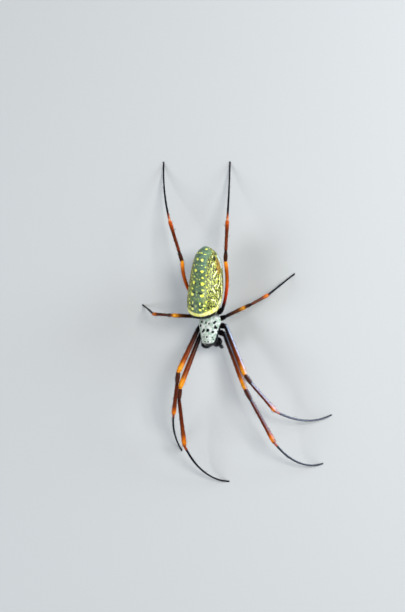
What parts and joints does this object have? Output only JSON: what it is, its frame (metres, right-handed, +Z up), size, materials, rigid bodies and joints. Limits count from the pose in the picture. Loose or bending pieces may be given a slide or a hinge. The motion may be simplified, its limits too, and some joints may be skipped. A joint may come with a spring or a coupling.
{
  "type": "golden silk orb weaver spider figure",
  "caption": "Life-size still figure of a golden silk orb weaver standing on its feet, with long jointed legs, a domed shield and a long blunt abdomen.",
  "frame": {"origin": "on the floor, under the middle of the bounding box", "axes": "+Z up, out of the back; -Y the way the head faces; +X the left side of the animal"},
  "size_m": [0.0694, 0.1092, 0.0214],
  "materials": {
    "silver_grey": "shell under short silver down",
    "olive": "soft skin, satin, with yellow spots and lines",
    "black": "glossy black shell",
    "eye": "wet black lens",
    "red_brown": "glossy red-brown shell with orange ends",
    "orange_red": "glossy orange-red shell",
    "brown": "satin brown shell"
  },
  "bodies": {
    "root": {"cephalothorax": "silver_grey", "abdomen": "olive", "pedicel": "black", "spinnerets": "brown", "eye_anterior_median_left": "eye", "eye_anterior_lateral_left": "eye", "eye_posterior_median_left": "eye", "eye_posterior_lateral_left": "eye", "chelicera_left": "black", "fang_left": "black", "palp_femur_left": "black", "palp_tip_left": "black", "leg_1_left_coxa": "black", "leg_1_left_femur": "red_brown", "leg_1_left_tibia": "red_brown", "leg_1_left_metatarsus": "black", "leg_2_left_coxa": "black", "leg_2_left_femur": "red_brown", "leg_2_left_tibia": "red_brown", "leg_2_left_metatarsus": "black", "leg_3_left_coxa": "black", "leg_3_left_femur": "brown", "leg_3_left_tibia": "brown", "leg_3_left_metatarsus": "black", "leg_4_left_coxa": "black", "leg_4_left_femur": "orange_red", "leg_4_left_tibia": "orange_red", "leg_4_left_metatarsus": "black", "eye_anterior_median_right": "eye", "eye_anterior_lateral_right": "eye", "eye_posterior_median_right": "eye", "eye_posterior_lateral_right": "eye", "chelicera_right": "black", "fang_right": "black", "palp_femur_right": "black", "palp_tip_right": "black", "leg_1_right_coxa": "black", "leg_1_right_femur": "red_brown", "leg_1_right_tibia": "red_brown", "leg_1_right_metatarsus": "black", "leg_2_right_coxa": "black", "leg_2_right_femur": "red_brown", "leg_2_right_tibia": "red_brown", "leg_2_right_metatarsus": "black", "leg_3_right_coxa": "black", "leg_3_right_femur": "brown", "leg_3_right_tibia": "brown", "leg_3_right_metatarsus": "black", "leg_4_right_coxa": "black", "leg_4_right_femur": "orange_red", "leg_4_right_tibia": "orange_red", "leg_4_right_metatarsus": "black"}
  },
  "joints": []
}
